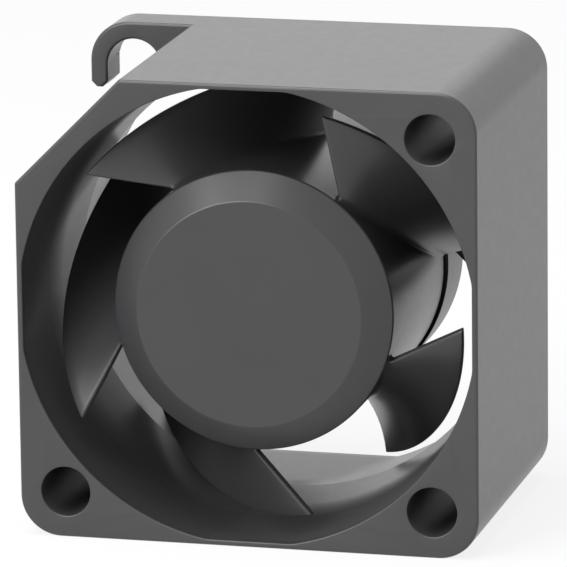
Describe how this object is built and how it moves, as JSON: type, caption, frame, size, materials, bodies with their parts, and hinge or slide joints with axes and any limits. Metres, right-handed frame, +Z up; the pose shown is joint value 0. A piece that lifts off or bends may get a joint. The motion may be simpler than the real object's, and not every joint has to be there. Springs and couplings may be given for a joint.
{
  "type": "axial cooling fan",
  "caption": "Square deep-frame axial cooling fan with a hub motor on ball bearings, wide twisted impeller blades, corner mounting holes and a wire hook behind a cut corner.",
  "frame": {"origin": "centre of the housing on the rotor axis", "axes": "+X right as seen from the inlet, +Y along the rotor axis from the inlet face to the outlet face, +Z up"},
  "size_m": [0.04, 0.028, 0.04],
  "materials": {
    "housing_plastic": "satin moulded",
    "impeller_plastic": "satin moulded",
    "yoke_steel": "zinc plated",
    "magnet": "matte ferrite",
    "brass": "turned",
    "shaft_steel": "ground",
    "washer_plastic": "matte",
    "retainer_steel": "stamped",
    "spring_steel": "drawn wire",
    "bearing_steel": "ground",
    "shield_steel": "pressed",
    "ball_steel": "polished",
    "cage_plastic": "matte",
    "lamination": "stacked sheet",
    "insulator": "matte",
    "winding": "enamelled copper",
    "tinned_pin": "tinned",
    "board": "solder mask",
    "chip": "moulded",
    "capacitor": "matte",
    "resistor": "matte"
  },
  "bodies": {
    "housing": {"frame": "housing_plastic", "bearing_tube": "brass", "stator_core": "lamination", "front_insulator": "insulator", "rear_insulator": "insulator", "stator_coil_1": "winding", "stator_coil_2": "winding", "stator_coil_3": "winding", "stator_coil_4": "winding", "terminal_pins": "tinned_pin", "circuit_board": "board", "driver_chip": "chip", "hall_sensor": "chip", "capacitors": "capacitor", "reverse_diode": "chip", "resistors": "resistor", "front_bearing_outer_ring": "bearing_steel", "front_bearing_shields": "shield_steel", "rear_bearing_outer_ring": "bearing_steel", "rear_bearing_shields": "shield_steel"},
    "rotor": {"impeller": "impeller_plastic", "rotor_yoke": "yoke_steel", "rotor_magnet": "magnet", "shaft_bush": "brass", "shaft": "shaft_steel", "thrust_washer": "washer_plastic", "retaining_ring": "retainer_steel", "preload_spring": "spring_steel", "front_bearing_inner_ring": "bearing_steel", "rear_bearing_inner_ring": "bearing_steel"},
    "front_cage": {"front_bearing_balls": "ball_steel", "front_bearing_cage": "cage_plastic"},
    "rear_cage": {"rear_bearing_balls": "ball_steel", "rear_bearing_cage": "cage_plastic"}
  },
  "joints": [
    {"name": "rotor_spin", "type": "hinge", "parent": "housing", "child": "rotor", "pos_m": [0, 0, 0], "axis": [0, -1, 0], "continuous": true},
    {"name": "front_cage_spin", "type": "hinge", "parent": "housing", "child": "front_cage", "pos_m": [0, 0, 0], "axis": [0, -1, 0], "continuous": true},
    {"name": "rear_cage_spin", "type": "hinge", "parent": "housing", "child": "rear_cage", "pos_m": [0, 0, 0], "axis": [0, -1, 0], "continuous": true}
  ],
  "couplings": [
    {"joint": "front_cage_spin", "follows": "rotor_spin", "ratio": 0.4},
    {"joint": "rear_cage_spin", "follows": "rotor_spin", "ratio": 0.4}
  ]
}
